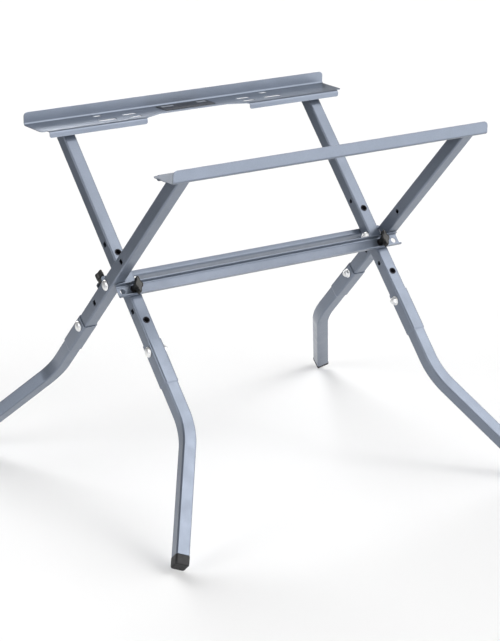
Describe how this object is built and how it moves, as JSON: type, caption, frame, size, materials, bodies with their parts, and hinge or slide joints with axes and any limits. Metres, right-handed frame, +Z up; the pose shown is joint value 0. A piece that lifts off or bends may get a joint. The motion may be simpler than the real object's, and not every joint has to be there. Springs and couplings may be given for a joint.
{
  "type": "folding tool stand",
  "caption": "Folding steel stand with two crossed tube frames, slotted top rails, splayed lower legs, clamped cross channels and a levelling foot.",
  "frame": {"origin": "on the floor, under the middle of the opened stand", "axes": "+X along the rails to the right as seen from the front, -Y to the front, +Z up"},
  "size_m": [0.8736, 0.7536, 0.6696],
  "materials": {
    "painted_steel": "silver-blue metallic powder coat, satin",
    "zinc_hardware": "bright zinc plate",
    "dark_insert": "dark phosphate",
    "knob_plastic": "moulded, satin",
    "foot_plastic": "moulded, matte",
    "label_film": "printed film, semi-gloss"
  },
  "bodies": {
    "inner_frame": {"top_rail_back": "painted_steel", "cross_channel_inner": "painted_steel", "upper_leg_inner_left": "painted_steel", "lower_leg_inner_left": "painted_steel", "sleeve_bolt_inner_left": "zinc_hardware", "sleeve_nut_inner_left": "zinc_hardware", "rivet_nut_inner_left_1": "dark_insert", "rivet_nut_inner_left_2": "dark_insert", "rivet_nut_inner_left_3": "dark_insert", "foot_insert_inner_left": "foot_plastic", "upper_leg_inner_right": "painted_steel", "lower_leg_inner_right": "painted_steel", "sleeve_bolt_inner_right": "zinc_hardware", "sleeve_nut_inner_right": "zinc_hardware", "rivet_nut_inner_right_1": "dark_insert", "rivet_nut_inner_right_2": "dark_insert", "rivet_nut_inner_right_3": "dark_insert", "foot_plug_inner_right": "foot_plastic", "rating_label": "label_film"},
    "outer_frame": {"top_rail_front": "painted_steel", "cross_channel_outer": "painted_steel", "upper_leg_outer_left": "painted_steel", "lower_leg_outer_left": "painted_steel", "sleeve_bolt_outer_left": "zinc_hardware", "sleeve_nut_outer_left": "zinc_hardware", "rivet_nut_outer_left_1": "dark_insert", "rivet_nut_outer_left_2": "dark_insert", "rivet_nut_outer_left_3": "dark_insert", "foot_plug_outer_left": "foot_plastic", "upper_leg_outer_right": "painted_steel", "lower_leg_outer_right": "painted_steel", "sleeve_bolt_outer_right": "zinc_hardware", "sleeve_nut_outer_right": "zinc_hardware", "rivet_nut_outer_right_1": "dark_insert", "rivet_nut_outer_right_2": "dark_insert", "rivet_nut_outer_right_3": "dark_insert", "foot_plug_outer_right": "foot_plastic", "pivot_bolt_left": "zinc_hardware", "pivot_nut_left": "zinc_hardware", "pivot_spacer_left": "zinc_hardware", "pivot_bolt_right": "zinc_hardware", "pivot_nut_right": "zinc_hardware", "pivot_spacer_right": "zinc_hardware"},
    "levelling_foot": {"levelling_foot_inner_left": "foot_plastic"},
    "washer_inner_left": {"knob_washer_inner_left": "dark_insert"},
    "knob_inner_left": {"knob_inner_left": "knob_plastic", "knob_stud_inner_left": "zinc_hardware"},
    "washer_inner_right": {"knob_washer_inner_right": "dark_insert"},
    "knob_inner_right": {"knob_inner_right": "knob_plastic", "knob_stud_inner_right": "zinc_hardware"},
    "washer_outer_left": {"knob_washer_outer_left": "dark_insert"},
    "knob_outer_left": {"knob_outer_left": "knob_plastic", "knob_stud_outer_left": "zinc_hardware"},
    "washer_outer_right": {"knob_washer_outer_right": "dark_insert"},
    "knob_outer_right": {"knob_outer_right": "knob_plastic", "knob_stud_outer_right": "zinc_hardware"}
  },
  "joints": [
    {"name": "fold", "type": "hinge", "parent": "inner_frame", "child": "outer_frame", "pos_m": [0, 0, 0.40278], "axis": [-1, 0, 0], "range_deg": [0, 73]},
    {"name": "knob_travel_inner_left", "type": "slide", "parent": "inner_frame", "child": "washer_inner_left", "axis": [0, -0.7314, 0.682], "range_m": [0, 0.0075]},
    {"name": "knob_turn_inner_left", "type": "hinge", "parent": "washer_inner_left", "child": "knob_inner_left", "pos_m": [-0.275, -0.02853, 0.3952], "axis": [0, -0.7314, 0.682], "range_deg": [0, 2160]},
    {"name": "knob_travel_inner_right", "type": "slide", "parent": "inner_frame", "child": "washer_inner_right", "axis": [0, -0.7314, 0.682], "range_m": [0, 0.0075]},
    {"name": "knob_turn_inner_right", "type": "hinge", "parent": "washer_inner_right", "child": "knob_inner_right", "pos_m": [0.275, -0.02853, 0.3952], "axis": [0, -0.7314, 0.682], "range_deg": [0, 2160]},
    {"name": "knob_travel_outer_left", "type": "slide", "parent": "outer_frame", "child": "washer_outer_left", "axis": [0, 0.7314, 0.682], "range_m": [0, 0.0075]},
    {"name": "knob_turn_outer_left", "type": "hinge", "parent": "washer_outer_left", "child": "knob_outer_left", "pos_m": [-0.3055, 0.02853, 0.3952], "axis": [0, 0.7314, 0.682], "range_deg": [0, 2160]},
    {"name": "knob_travel_outer_right", "type": "slide", "parent": "outer_frame", "child": "washer_outer_right", "axis": [0, 0.7314, 0.682], "range_m": [0, 0.0075]},
    {"name": "knob_turn_outer_right", "type": "hinge", "parent": "washer_outer_right", "child": "knob_outer_right", "pos_m": [0.3055, 0.02853, 0.3952], "axis": [0, 0.7314, 0.682], "range_deg": [0, 2160]},
    {"name": "levelling_foot_travel", "type": "slide", "parent": "inner_frame", "child": "levelling_foot", "axis": [-0.4571, -0.6066, -0.6505], "range_m": [0, 0.01]}
  ],
  "couplings": [
    {"joint": "knob_travel_inner_left", "follows": "knob_turn_inner_left", "m_per_rad": 0.00019894},
    {"joint": "knob_travel_inner_right", "follows": "knob_turn_inner_right", "m_per_rad": 0.00019894},
    {"joint": "knob_travel_outer_left", "follows": "knob_turn_outer_left", "m_per_rad": 0.00019894},
    {"joint": "knob_travel_outer_right", "follows": "knob_turn_outer_right", "m_per_rad": 0.00019894}
  ]
}
